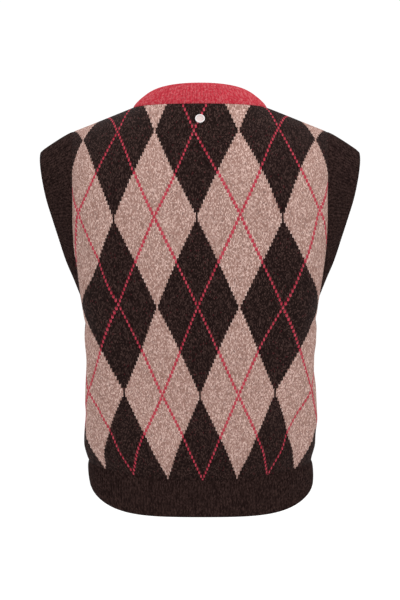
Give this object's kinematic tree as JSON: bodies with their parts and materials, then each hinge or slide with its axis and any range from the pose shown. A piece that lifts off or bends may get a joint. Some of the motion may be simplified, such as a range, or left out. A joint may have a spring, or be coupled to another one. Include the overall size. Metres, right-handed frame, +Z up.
{
  "type": "knitted sweater vest",
  "caption": "Sleeveless argyle knit pullover in its hollow worn form, with a ribbed V neckband, wide ribbed armbands and a ribbed hem.",
  "frame": {"origin": "midway between the two high shoulder points, where the wearer's shoulders hold the vest", "axes": "+Z up, the front faces -Y, +X to the wearer's left"},
  "size_m": [0.4732, 0.2473, 0.6159],
  "materials": {
    "argyle_knit": "matte",
    "neck_rib": "matte",
    "dark_rib": "matte",
    "badge": "satin"
  },
  "bodies": {
    "root": {"panel_back": "argyle_knit", "panel_front": "argyle_knit", "neckband": "neck_rib", "armband_left": "dark_rib", "armband_right": "dark_rib", "hem_rib_back": "dark_rib", "hem_rib_front": "dark_rib", "badge": "badge"}
  },
  "joints": []
}
